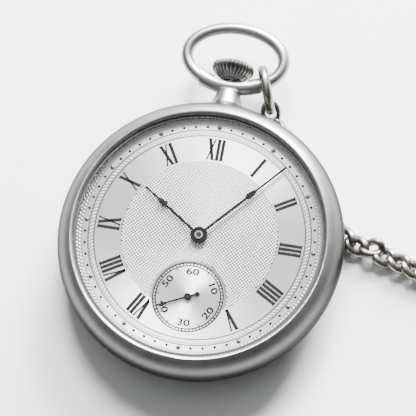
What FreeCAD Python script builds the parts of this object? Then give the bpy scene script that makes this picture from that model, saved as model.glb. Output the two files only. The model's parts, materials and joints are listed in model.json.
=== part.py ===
import FreeCAD, Part
import math
import os
import re

import Sketcher
from FreeCAD import Placement, Rotation, Vector

# Open-faced crown-wound pocket watch with its bolt ring and chain, lying on its back.
# Units are millimetres. The origin is the centre of the flat foot of the case back;
# +Z leaves the dial, +Y points at twelve o'clock and +X at three o'clock.

SIZES = [
    # case
    ("case_radius", 23.0), ("girdle_z", 5.6), ("foot_radius", 7.0),
    ("lip_radius", 19.95), ("lip_z", 9.73), ("crest_radius", 20.53), ("crest_z", 10.28),
    ("bezel_seam_z", 6.4), ("back_seam_z", 4.0), ("back_seam_radius", 22.13),
    ("shell_wall", 0.85), ("band_bore", 20.45), ("snap_radius", 20.9),
    # dial and hands
    ("dial_z", 8.3), ("dial_thickness", 0.4), ("dial_radius", 20.3), ("track_radius", 18.33),
    ("seconds_y", -10.08), ("seconds_recess_radius", 5.87), ("recess_depth", 0.15),
    ("hour_hand_z", 8.75), ("minute_hand_z", 9.05), ("second_hand_z", 8.5),
    ("hand_thickness", 0.15), ("hour_hand_length", 11.96), ("minute_hand_length", 17.76),
    ("second_hand_length", 5.19), ("hand_width", 0.4), ("leaf_width", 1.0),
    # pendant, bow and crown
    ("pivot_y", 27.64), ("seam_x", 5.2), ("oval_y", 31.5), ("oval_half_width", 7.97),
    ("oval_half_height", 5.1), ("wire_radius", 0.95), ("neck_radius", 1.8),
    ("neck_foot_radius", 2.5), ("crossbar_radius", 1.28), ("crown_radius", 3.43),
    ("crown_y", 27.3), ("crown_height", 3.3), ("crown_flutes", 30), ("stem_radius", 0.6),
    ("sleeve_radius", 1.0), ("tail_radius", 1.15), ("stem_end_y", 8.5),
    ("lever_pivot_x", -3.3), ("lever_pivot_y", 14.4),
    # movement
    ("movement_radius", 18.3), ("plate_z", 6.3), ("bridge_z", 3.7), ("train_z", 4.5),
    ("centre_to_barrel", 7.5), ("barrel_angle", 35.0), ("centre_to_third", 6.3),
    ("third_angle", 240.7), ("fourth_to_escape", 4.4), ("escape_angle", -24.4),
    ("escape_to_pallet", 2.9), ("pallet_to_balance", 3.9), ("lever_angle", 37.6),
    ("centre_to_minute", 3.84), ("minute_wheel_angle", 120.0), ("crown_wheel_y", 9.0),
    ("barrel_radius", 6.5), ("balance_radius", 5.0),
    # bolt ring and chain
    ("ring_radius", 3.4), ("ring_wire", 0.78), ("ring_bore", 0.5),
    ("chain_half_width", 1.8), ("chain_half_height", 1.0),
    ("coil_x", 61.5), ("coil_y", 10.0), ("coil_outer", 23.6), ("coil_inner", 12.2),
    ("bar_length", 18.0),
]
ALIASES = {name for name, _ in SIZES}
PITCH_CLEARANCE = 0.25      # share of the module by which a tooth passes the pitch circle

doc = FreeCAD.newDocument("PocketWatch")
sheet = doc.addObject("Spreadsheet::Sheet", "Sizes")
for row, (alias, number) in enumerate(SIZES, start=1):
    sheet.set("A%d" % row, alias)
    sheet.set("B%d" % row, str(number))
    sheet.setAlias("B%d" % row, alias)
doc.recompute()

kept = []


# ---- expressions -------------------------------------------------------------------

def value(expression):
    """Number that an expression of the sheet's aliases gives."""
    return float(sheet.evalExpression(str(expression)))


def linked(expression):
    """The same expression as another object has to write it."""
    return re.sub(r"[a-z_]+", lambda word: "Sizes." + word[0] if word[0] in ALIASES
                  else word[0], str(expression))


def bind(item, **expressions):
    """Bind properties to the sheet."""
    for name, expression in expressions.items():
        item.setExpression(name, linked(expression))


def put(item, x=0, y=0, z=0, turn=None):
    """Place an object; its position stays bound to the sheet."""
    item.Placement = Placement(Vector(value(x), value(y), value(z)), turn or Rotation())
    for axis, expression in zip("xyz", (x, y, z)):
        item.setExpression(".Placement.Base." + axis, linked(expression))
    return item


def keep(item, label):
    """Name an object as a piece of the watch."""
    item.Label = label
    kept.append(item)
    return item


# ---- primitives and booleans -------------------------------------------------------

ALONG = {"z": Rotation(), "y": Rotation(Vector(1, 0, 0), -90), "x": Rotation(Vector(0, 1, 0), 90)}


def cylinder(radius, height, x=0, y=0, z=0, along="z"):
    item = doc.addObject("Part::Cylinder", "Cylinder")
    bind(item, Radius=radius, Height=height)
    return put(item, x, y, z, ALONG[along])


def cone(radius, top_radius, height, x=0, y=0, z=0, along="z"):
    item = doc.addObject("Part::Cone", "Cone")
    bind(item, Radius1=radius, Radius2=top_radius, Height=height)
    return put(item, x, y, z, ALONG[along])


def box(length, width, height, x=0, y=0, z=0, turn=None):
    item = doc.addObject("Part::Box", "Box")
    bind(item, Length=length, Width=width, Height=height)
    return put(item, x, y, z, turn)


def sphere(radius, x=0, y=0, z=0):
    item = doc.addObject("Part::Sphere", "Sphere")
    bind(item, Radius=radius)
    return put(item, x, y, z)


def fuse(*shapes):
    if len(shapes) == 1:
        return shapes[0]
    item = doc.addObject("Part::MultiFuse", "Union")
    item.Shapes = list(shapes)
    return item


def cut(base, *tools):
    item = doc.addObject("Part::Cut", "Cut")
    item.Base = base
    item.Tool = fuse(*tools)
    return item


def common(*shapes):
    item = doc.addObject("Part::MultiCommon", "Common")
    item.Shapes = list(shapes)
    return item


def group(*shapes):
    """Separate solids that make one node."""
    item = doc.addObject("Part::Compound", "Group")
    item.Links = list(shapes)
    return item


def tube(outer, inner, height, x=0, y=0, z=0, along="z"):
    return cut(cylinder(outer, height, x, y, z, along), cylinder(inner, height, x, y, z, along))


def sweep(spine, sections):
    item = doc.addObject("Part::Sweep", "Sweep")
    item.Sections = sections
    doc.recompute([spine])
    item.Spine = (spine, ["Edge%d" % (k + 1) for k in range(len(spine.Shape.Edges))])
    item.Solid = True
    item.Frenet = True
    return item


# ---- bodies ------------------------------------------------------------------------

def origin_feature(body, role):
    return next(item for item in body.Origin.OriginFeatures if item.Role == role)


def new_body(x=0, y=0, z=0, turn=None):
    return put(doc.addObject("PartDesign::Body", "Body"), x, y, z, turn)


def new_sketch(body, plane, height=0):
    item = body.newObject("Sketcher::SketchObject", "Sketch")
    item.AttachmentSupport = [(origin_feature(body, plane), "")]
    item.MapMode = "FlatFace"
    item.setExpression(".AttachmentOffset.Base.z", linked(height))
    return item


def fix_point(sketch, geometry, position, x, y):
    """Hold one point of a sketch at bound coordinates."""
    for kind, expression in (("DistanceX", x), ("DistanceY", y)):
        number = sketch.addConstraint(
            Sketcher.Constraint(kind, -1, 1, geometry, position, value(expression)))
        sketch.setExpression("Constraints[%d]" % number, linked(expression))


def outline(sketch, corners):
    """Closed outline. A corner is (x, y); ("arc", x, y) is a point that an arc passes."""
    vertices = [entry for entry in corners if entry[0] != "arc"]
    points = [Vector(value(x), value(y), 0) for x, y in vertices]
    through = {}
    count = 0
    for entry in corners:
        if entry[0] == "arc":
            through[count - 1] = entry[1:]
        else:
            count += 1
    edges = []
    for index, start in enumerate(points):
        end = points[(index + 1) % len(points)]
        if index not in through:
            edges.append((sketch.addGeometry(Part.LineSegment(start, end), False), 1, 2))
            continue
        x, y = through[index]
        middle = Vector(value(x), value(y), 0)
        edge = sketch.addGeometry(Part.Arc(start, middle, end), False)
        mark = sketch.addGeometry(Part.Point(middle), True)
        first = 1 if sketch.getPoint(edge, 1).distanceToPoint(start) < 1e-6 else 2
        edges.append((edge, first, 3 - first))
        fix_point(sketch, mark, 1, x, y)
        sketch.addConstraint(Sketcher.Constraint("PointOnObject", mark, 1, edge))
    for index, (edge, first, last) in enumerate(edges):
        following, start, _ = edges[(index + 1) % len(edges)]
        sketch.addConstraint(Sketcher.Constraint("Coincident", edge, last, following, start))
        fix_point(sketch, edge, first, *vertices[index])


def circle(sketch, radius, x=0, y=0):
    ring = sketch.addGeometry(
        Part.Circle(Vector(value(x), value(y), 0), Vector(0, 0, 1), value(radius)), False)
    fix_point(sketch, ring, 3, x, y)
    number = sketch.addConstraint(Sketcher.Constraint("Radius", ring, value(radius)))
    sketch.setExpression("Constraints[%d]" % number, linked(radius))


def pad(body, sketch, height):
    item = body.newObject("PartDesign::Pad", "Pad")
    item.Profile = sketch
    bind(item, Length=height)
    body.Tip = item
    return item


def pocket(body, sketch, depth):
    """Cut upwards from the sketch, and check that material went."""
    doc.recompute()
    before = body.Shape.Volume
    item = body.newObject("PartDesign::Pocket", "Pocket")
    item.Profile = sketch
    item.Reversed = True
    bind(item, Length=depth)
    body.Tip = item
    doc.recompute()
    if body.Shape.Volume > before - 1e-6:
        raise RuntimeError("pocket cuts nothing: " + item.Name)
    return item


def polar(body, feature, count):
    item = body.newObject("PartDesign::PolarPattern", "PolarPattern")
    item.Originals = [feature]
    item.Axis = (origin_feature(body, "Z_Axis"), [""])
    item.Angle = 360
    bind(item, Occurrences=count)
    item.Refine = False
    body.Tip = item
    return item


def turned(corners, x=0, y=0, z=0, turn=None):
    """Solid of revolution about its own Z axis, from an outline in radius and height."""
    body = new_body(x, y, z, turn)
    sketch = new_sketch(body, "XZ_Plane")
    outline(sketch, corners)
    item = body.newObject("PartDesign::Revolution", "Revolution")
    item.Profile = sketch
    item.ReferenceAxis = (sketch, ["V_Axis"])
    item.Angle = 360
    body.Tip = item
    return body


def plate(corners, height, x=0, y=0, z=0, turn=None):
    """Flat piece of even thickness."""
    body = new_body(x, y, z, turn)
    sketch = new_sketch(body, "XY_Plane")
    outline(sketch, corners)
    pad(body, sketch, height)
    return body


def gear(teeth, module, height, x=0, y=0, z=0, turn=None, reach=PITCH_CLEARANCE):
    """Toothed disc whose gaps are one pocket patterned round the axis."""
    body = new_body(x, y, z, turn)
    blank = new_sketch(body, "XY_Plane")
    pitch = teeth * module / 2
    tip = pitch + reach * module
    root = pitch - 0.95 * module
    circle(blank, tip)
    pad(body, blank, height)
    gap = new_sketch(body, "XY_Plane")
    half_tooth = math.pi * module / 4
    outline(gap, [(root, -0.6 * half_tooth), (tip + module, -1.5 * half_tooth),
                  (tip + module, 1.5 * half_tooth), (root, 0.6 * half_tooth)])
    polar(body, pocket(body, gap, height), teeth)
    return body


def arbor(x, y, bottom, top, radius=0.25, pivot=0.1, pivot_length=0.25):
    """Steel arbor between two jewels, with a thin pivot at each end."""
    bottom, top = value(bottom), value(top)
    return fuse(cylinder(radius, top - bottom, x, y, bottom),
                cylinder(pivot, top - bottom + 2 * pivot_length, x, y, bottom - pivot_length))


def polar_point(distance, angle, x="0", y="0"):
    """Expressions of a point at a distance and an angle from another."""
    return ("%s + %s * cos(%s)" % (x, distance, angle), "%s + %s * sin(%s)" % (y, distance, angle))


# ---- places of the train -----------------------------------------------------------

BARREL = polar_point("centre_to_barrel", "barrel_angle")
THIRD = polar_point("centre_to_third", "third_angle")
FOURTH = ("0", "seconds_y")
ESCAPE = polar_point("fourth_to_escape", "escape_angle", *FOURTH)
PALLET = polar_point("escape_to_pallet", "lever_angle", *ESCAPE)
BALANCE = polar_point("pallet_to_balance", "lever_angle", *PALLET)
MINUTE = polar_point("centre_to_minute", "minute_wheel_angle")
STEM_AXIS = Rotation(Vector(1, 0, 0), -90)      # turns a piece's own Z axis onto +Y


# ---- case --------------------------------------------------------------------------

def make_case():
    band = turned([
        ("band_bore", "back_seam_z + 1"), ("back_seam_radius - 0.83", "back_seam_z + 1"),
        ("back_seam_radius - 0.83", "back_seam_z"), ("back_seam_radius", "back_seam_z"),
        ("arc", "case_radius - 0.214", "girdle_z - 0.8"), ("case_radius", "girdle_z"),
        ("arc", "case_radius - 0.011", "girdle_z + 0.4"),
        ("case_radius - 0.043", "bezel_seam_z"), ("case_radius - 1.15", "bezel_seam_z"),
        ("case_radius - 1.15", "bezel_seam_z + 0.55"), ("snap_radius - 0.05", "bezel_seam_z + 0.55"),
        ("snap_radius - 0.05", "dial_z - dial_thickness"), ("band_bore", "dial_z - dial_thickness")])
    saddle = plate([(-4.2, 22.0), (4.2, 22.0), (3.6, 22.95), (2.5, 23.19), (-2.5, 23.19),
                    (-3.6, 22.95)], 2.05, z="girdle_z - 1.3")
    socket = cylinder("tail_radius + 0.04", 6, y=18, z="girdle_z", along="y")
    keep(cut(fuse(band, saddle), socket), "case_band")

    bezel = turned([
        ("lip_radius", "dial_z + 0.05"), ("snap_radius", "dial_z + 0.05"),
        ("snap_radius", "bezel_seam_z + 0.6"), ("case_radius - 1.1", "bezel_seam_z + 0.6"),
        ("case_radius - 1.1", "bezel_seam_z + 0.01"), ("case_radius - 0.043", "bezel_seam_z + 0.01"),
        ("arc", "case_radius - 0.8", "crest_z - 1.45"), ("crest_radius", "crest_z"),
        ("arc", "lip_radius + 0.2", "crest_z - 0.13"), ("lip_radius", "lip_z")])
    keep(cut(bezel, socket), "bezel")

    crystal = turned([
        (0, "lip_z + 0.2"), (0.5, "lip_z + 0.2"), ("arc", "lip_radius * 0.5", "lip_z + 0.02"),
        ("lip_radius - 0.4", "lip_z - 0.55"), ("lip_radius - 0.4", "lip_z - 0.1"),
        ("arc", "lip_radius * 0.5", "lip_z + 0.78"), (0.5, "lip_z + 1.02"), (0, "lip_z + 1.02")])
    keep(crystal, "crystal")
    keep(tube("lip_radius", "lip_radius - 0.4", 0.6, z="lip_z - 0.7"), "crystal_gasket")

    back = turned([
        (0, 0), ("foot_radius", 0), ("arc", 14, 0.935), (20, 2.697), ("arc", 21.2, 3.32),
        ("back_seam_radius", "back_seam_z - 0.01"), ("back_seam_radius - 0.88", "back_seam_z - 0.01"),
        ("back_seam_radius - 0.88", "back_seam_z + 0.65"), ("back_seam_radius - 1.83", "back_seam_z + 0.65"),
        ("back_seam_radius - 1.83", "back_seam_z - 0.25"), (19, 3.14), ("arc", 13.6, 1.76),
        ("foot_radius", "shell_wall"), (0, "shell_wall")])
    keep(cut(back, socket), "case_back")
    seal = tube("back_seam_radius - 0.93", "band_bore + 0.05", 0.33, z="back_seam_z + 0.65")
    keep(cut(seal, socket), "back_gasket")

    ring = turned([
        ("movement_radius + 0.05", 4.2), ("band_bore - 0.3", 4.2), ("band_bore - 0.3", 5.0),
        ("band_bore - 0.05", 5.0), ("band_bore - 0.05", "dial_z - dial_thickness"),
        ("movement_radius + 0.05", "dial_z - dial_thickness")])
    clamps = []
    screws = []
    for side in (-1, 1):
        x = side * 18.75
        clamps.append(cylinder(1.25, 2.2, x, 2, "plate_z - 2.15"))
        clamps.append(cylinder(0.4, 1.5, x + side * 0.65, 2, "plate_z"))
        head = cylinder(1.1, 0.4, x, 2, "plate_z - 0.42")
        shank = cylinder(0.37, 1.3, x + side * 0.65, 2, "plate_z - 0.1")
        slot = box(2.4, 0.25, 0.2, x - 1.2, 1.875, "plate_z - 0.43")
        screws.append(cut(fuse(head, shank), slot))
    stem_hole = cylinder(2.1, 3.5, y=17.5, z="girdle_z", along="y")
    keep(cut(ring, stem_hole, *clamps), "movement_ring")
    keep(group(*screws), "case_screws")


# ---- pendant, bow and crown --------------------------------------------------------

def oval_arc(first, last):
    """Stretch of the oval that the bow and the crossbar share."""
    item = doc.addObject("Part::Ellipse", "Oval")
    bind(item, MajorRadius="oval_half_width", MinorRadius="oval_half_height")
    item.Angle1 = first % 360
    item.Angle2 = last % 360
    return put(item, 0, "oval_y", "girdle_z")


def oval_section(angle, radius):
    """Circle across the oval at one of its angles."""
    item = doc.addObject("Part::Circle", "Section")
    bind(item, Radius=radius)
    item.Angle1 = 0
    item.Angle2 = 360
    rad = math.radians(angle)
    tangent = Vector(-value("oval_half_width") * math.sin(rad),
                     value("oval_half_height") * math.cos(rad), 0)
    return put(item, "oval_half_width * cos(%s)" % angle,
               "oval_y + oval_half_height * sin(%s)" % angle, "girdle_z",
               Rotation(Vector(0, 0, 1), Vector(), tangent, "ZXY"))


def make_pendant():
    bar = sweep(oval_arc(222, 318), [oval_section(222, "crossbar_radius"),
                                     oval_section(270, "crossbar_radius - 0.05"),
                                     oval_section(318, "crossbar_radius")])
    bar = common(bar, box("2 * seam_x - 0.04", 6, 6, "0.02 - seam_x", 24, "girdle_z - 3"))
    # the foot of the neck follows the outside of the case, and stands clear of its saddle
    envelope = turned([
        (0, 2.66), (20.03, 2.66), ("arc", 21.23, 3.29), ("back_seam_radius + 0.03", "back_seam_z"),
        ("arc", "case_radius - 0.184", "girdle_z - 0.8"), ("case_radius + 0.03", "girdle_z"),
        ("arc", "case_radius + 0.019", "girdle_z + 0.4"), ("case_radius - 0.013", "bezel_seam_z"),
        ("arc", "case_radius - 0.77", "crest_z - 1.45"), ("crest_radius + 0.05", "crest_z + 0.03"),
        (0, "crest_z + 0.03")])
    foot = cut(cylinder("neck_foot_radius", 1.3, y=21.9, z="girdle_z", along="y"), envelope,
               box(8.6, 2.3, 2.09, -4.3, 20.9, "girdle_z - 1.32"))
    neck = fuse(cone("neck_foot_radius", "neck_radius", 2.4, y=23.2, z="girdle_z", along="y"),
                foot, cylinder("tail_radius", 2.7, y=20.6, z="girdle_z", along="y"))
    crown_seat = cylinder("crown_radius - 0.5", 3, y="crown_y - 0.15", z="girdle_z", along="y")
    bore = cylinder("sleeve_radius + 0.02", 9, y=20, z="girdle_z", along="y")
    pin_bores = cylinder(0.44, "2 * seam_x", "-seam_x", "pivot_y", "girdle_z", along="x")
    middle = box(5.6, 3, 3, -2.8, "pivot_y - 1.5", "girdle_z - 1.5")
    keep(cut(fuse(bar, neck), crown_seat, bore, cut(pin_bores, middle)), "pendant")
    keep(tube("sleeve_radius", "stem_radius + 0.06", 8.0, y=21, z="girdle_z", along="y"),
         "stem_sleeve")

    loop = sweep(oval_arc(-56, 236), [oval_section(-56, "wire_radius")])
    gap = box("2 * seam_x + 0.04", 8, 6, "-seam_x - 0.02", 23.5, "girdle_z - 3")
    pin_holes = [cylinder(0.4, 1.2, x, "pivot_y", "girdle_z", along="x")
                 for x in ("seam_x", "-seam_x - 1.2")]
    keep(cut(loop, gap, *pin_holes), "bow")
    keep(group(*[cylinder(0.4, 2.9, x, "pivot_y", "girdle_z", along="x")
                 for x in ("seam_x - 1.8", "-seam_x - 1.1")]), "bow_pins")


def make_crown():
    body = turned([
        (0.62, "crown_height - 0.5"), (0.62, 1.9), (1.75, 1.9), (1.75, 0), (1.95, 0),
        ("crown_radius - 0.3", 1.35), ("arc", "crown_radius - 0.09", 1.65), ("crown_radius", 2.0),
        ("crown_radius", "crown_height - 0.7"),
        ("arc", "crown_radius - 0.13", "crown_height - 0.42"),
        ("crown_radius - 0.6", "crown_height - 0.18"), ("arc", 1.6, "crown_height - 0.05"),
        (0.4, "crown_height"), (0, "crown_height"), (0, "crown_height - 0.5")],
        0, "crown_y", "girdle_z", STEM_AXIS)
    flute = new_sketch(body, "XY_Plane")
    circle(flute, 0.27, "crown_radius + 0.1")
    polar(body, pocket(body, flute, "crown_height"), "crown_flutes")
    keep(body, "crown")
    keep(tube(1.72, "sleeve_radius + 0.02", 0.6, y="crown_y + 0.2", z="girdle_z", along="y"),
         "crown_gasket")

    length = value("crown_y + 2.7 - stem_end_y")
    keep(turned([(0, 0), (0.45, 0), ("stem_radius - 0.05", 0.15), ("stem_radius - 0.05", 4.8),
                 ("stem_radius", 4.8), ("stem_radius", 5.73), (0.35, 5.73), (0.35, 6.37),
                 ("stem_radius", 6.37), ("stem_radius", length), (0, length)],
                0, "stem_end_y", "girdle_z", STEM_AXIS), "stem")


# ---- dial and hands ----------------------------------------------------------------

def make_dial():
    body = new_body(z="dial_z - dial_thickness")
    face = new_sketch(body, "XY_Plane")
    circle(face, "dial_radius")
    circle(face, 1.08)
    circle(face, 0.3, 0, "seconds_y")
    pad(body, face, "dial_thickness")
    recess = new_sketch(body, "XY_Plane", "dial_thickness - recess_depth")
    circle(recess, "seconds_recess_radius", 0, "seconds_y")
    pocket(body, recess, "recess_depth")
    doc.recompute()
    feet = [cylinder(0.35, 1.3, side * 13, -9, "dial_z - dial_thickness - 1.2")
            for side in (-1, 1)]
    keep(fuse(body, *feet), "dial")
    pips = []
    for hour in range(12):
        x, y = polar_point("track_radius", 90 - 30 * hour)
        pips.append(common(sphere(0.42, x, y, "dial_z - 0.2"), box(1, 1, 0.5, x + " - 0.5",
                                                                  y + " - 0.5", "dial_z")))
    keep(group(*pips), "dial_pips")


def leaf_hand(length, leaf_start, leaf_end, hub, hole, z, heading):
    """Hand with a leaf part way along; it points the way a clock hand is read."""
    half, wide, tip = "hand_width / 2", "leaf_width / 2", 0.15
    swell = "%s + (%s - %s) * 0.3" % (leaf_start, leaf_end, leaf_start)
    right = [(half, 0), (half, leaf_start), ("arc", "leaf_width * 0.45", leaf_start + " + 0.22"),
             (wide, swell), ("arc", "leaf_width * 0.36", leaf_start + " + 1.3"),
             (tip, leaf_end), (tip, length + " - 0.15"), ("arc", tip * 0.7, length + " - 0.04")]
    left = [(-tip, length + " - 0.15"), (-tip, leaf_end),
            ("arc", "-leaf_width * 0.36", leaf_start + " + 1.3"), ("-" + wide, swell),
            ("arc", "-leaf_width * 0.45", leaf_start + " + 0.22"), ("-" + half, leaf_start),
            ("-" + half, 0)]
    middle = [(0, length), ("arc", -tip * 0.7, length + " - 0.04")]
    blade = plate(right + middle + left, "hand_thickness", z=z,
                  turn=Rotation(Vector(0, 0, 1), -heading))
    boss = cylinder(hub, "hand_thickness", z=z)
    return cut(fuse(blade, boss), cylinder(hole, 1, z="%s - 0.3" % z))


def make_hands():
    keep(leaf_hand("hour_hand_length", "7.25", "9.3", 1.3, 1.0, "hour_hand_z", 304.0), "hour_hand")
    keep(leaf_hand("minute_hand_length", "9.65", "11.75", 1.36, 0.65, "minute_hand_z", 41.75),
         "minute_hand")
    needle = plate([(-0.15, -1.4), (0.15, -1.4), (0.15, 0), (0.1, "second_hand_length"),
                    (-0.1, "second_hand_length"), (-0.15, 0)], 0.1, 0, "seconds_y",
                   "second_hand_z", Rotation(Vector(0, 0, 1), -245.5))
    x, y = polar_point(1.55, 90 - 245.5 + 180, *FOURTH)
    weight = cylinder(0.37, 0.1, x, y, "second_hand_z")
    boss = cylinder(0.55, 0.2, 0, "seconds_y", "second_hand_z")
    keep(cut(fuse(needle, weight, boss), cylinder(0.2, 1, 0, "seconds_y", "second_hand_z - 0.3")),
         "second_hand")


# ---- motion work and train ---------------------------------------------------------

def make_motion_work():
    keep(cut(fuse(gear(12, 0.16, 0.5, z=7.05), cylinder(0.65, 2.35, z=7.05)),
             cylinder(0.42, 3, z=7)), "cannon_pinion")
    keep(cut(fuse(gear(36, 0.16, 0.2, *MINUTE, z=7.1), gear(12, 0.128, 0.45, *MINUTE, z=7.3)),
             cylinder(0.3, 1, *MINUTE, z=7)), "minute_wheel")
    keep(cut(fuse(gear(48, 0.128, 0.15, z=7.6), cylinder(1.0, 1.4, z=7.6)),
             cylinder(0.72, 3, z=7)), "hour_wheel")


def make_train():
    spindle = fuse(cylinder(0.38, 4.95, z="train_z + 0.05"), cylinder(0.15, 0.5, z="train_z - 0.4"))
    keep(fuse(gear(80, 0.14, 0.2, z=6.0), gear(12, 1 / 6, 1.15, z=4.6), spindle), "centre_wheel")
    keep(fuse(gear(75, 0.13, 0.2, *THIRD, z=4.8), gear(10, 0.14, 0.7, *THIRD, z=5.55),
              arbor(*THIRD, "train_z", "plate_z")), "third_wheel")
    seconds_arbor = cylinder(0.2, 2.4, *FOURTH, z="plate_z")
    keep(fuse(gear(80, 0.1, 0.15, *FOURTH, z=5.4), gear(10, 0.13, 0.5, *FOURTH, z=4.65),
              arbor(*FOURTH, "train_z", "plate_z"), seconds_arbor), "fourth_wheel")

    body = new_body(*ESCAPE, z=5.75)
    blank = new_sketch(body, "XY_Plane")
    circle(blank, 2.4)
    pad(body, blank, 0.2)
    tooth_gap = new_sketch(body, "XY_Plane")
    outline(tooth_gap, [(1.75, 0.1), (2.2, -0.12), (2.55, -0.14), (2.5, 0.75), (1.75, 0.6)])
    polar(body, pocket(body, tooth_gap, 0.2), 15)
    keep(fuse(body, gear(8, 0.1, 0.5, *ESCAPE, z=5.2), arbor(*ESCAPE, "train_z", "plate_z")),
         "escape_wheel")

    drum = cut(cylinder("barrel_radius - 0.35", 1.2, *BARREL, z=4.65),
               cylinder("barrel_radius - 0.6", 0.9, *BARREL, z=4.8),
               cylinder(0.74, 2, *BARREL, z=4))
    rim = cut(gear(78, 1 / 6, 0.35, *BARREL, z=4.6, reach=0.1),
              cylinder("barrel_radius - 0.6", 1, *BARREL, z=4.5))
    keep(fuse(drum, rim), "barrel")
    keep(cut(fuse(cylinder(0.7, 3.1, *BARREL, z=3.3), cylinder(1.1, 0.8, *BARREL, z=4.85)),
             cylinder(0.35, 1.2, *BARREL, z=2.9)), "barrel_arbor")

    lever = plate([(-0.95, 1.5), (-0.62, 1.42), (-0.2, 0.35), (2.4, 0.1), (2.75, 0.35), (2.7, -0.35),
                   (2.4, -0.1), (-0.2, -0.35), (-0.62, -1.42), (-0.95, -1.5), (-0.55, 0)],
                  0.2, *PALLET, z=5.75, turn=Rotation(Vector(0, 0, 1), value("lever_angle")))
    keep(fuse(lever, arbor(*PALLET, 5.64, "plate_z", 0.15, 0.08, 0.2)), "pallet_fork")

    rim = tube("balance_radius", "balance_radius - 0.75", 0.35, *BALANCE, z=4.75)
    spoke = box("2 * balance_radius - 0.6", 0.6, 0.2, "-balance_radius + 0.3 + " + BALANCE[0],
                BALANCE[1] + " - 0.3", 4.83)
    keep(cut(fuse(rim, spoke, cylinder(0.55, 0.2, *BALANCE, z=4.83)),
             cylinder(0.25, 1, *BALANCE, z=4.5)), "balance_wheel")
    pin = polar_point(0.95, "lever_angle + 180", *BALANCE)
    keep(fuse(arbor(*BALANCE, 4.25, "plate_z"), cylinder(1.15, 0.15, *BALANCE, z=5.42),
              cylinder(0.1, 0.35, *pin, z=5.5)), "balance_staff")


def spiral_band(first_radius, growth, turns, half_width, half_height, x, y, z):
    """Flat spiral spring of rectangular section."""
    spine = put(doc.addObject("Part::Spiral", "Spiral"), x, y, z)
    spine.Growth = growth
    spine.Rotations = turns
    spine.Radius = first_radius
    section = doc.addObject("Part::Polygon", "Strip")
    section.Nodes = [Vector(first_radius + i * half_width, 0, k * half_height)
                     for i, k in ((-1, -1), (1, -1), (1, 1), (-1, 1))]
    section.Close = True
    put(section, x, y, z)
    return sweep(spine, [section])


def make_springs():
    keep(spiral_band(1.3, 0.62, 7, 0.11, 0.38, *BARREL, 5.25), "mainspring")
    keep(spiral_band(0.6, 0.2, 8, 0.04, 0.05, *BALANCE, 4.5), "hairspring")


# ---- plates, bridges and keyless work ----------------------------------------------

PLATE_JEWELS = [THIRD, FOURTH, ESCAPE, PALLET, BALANCE]
BRIDGE_JEWELS = [THIRD, FOURTH, ESCAPE]
BRIDGE_SCREWS = [(16.3, 25), (16.3, 68), (16.3, 150), (16.3, 195), (16.3, 250)]


def screw(x, y, head_bottom, shank_length):
    """Cheese-headed screw, head towards the case back."""
    head = cylinder(0.85, 0.45, x, y, head_bottom)
    shank = cylinder(0.4, shank_length, x, y, "%s + 0.4" % head_bottom)
    slot = box(1.8, 0.22, 0.22, "%s - 0.9" % x, "%s - 0.11" % y, "%s - 0.01" % head_bottom)
    return cut(fuse(head, shank), slot)


def screw_places():
    places = [(polar_point(radius, angle), 3.25) for radius, angle in BRIDGE_SCREWS]
    return places + [(("15.2", "-1.6"), 2.95)]


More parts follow.
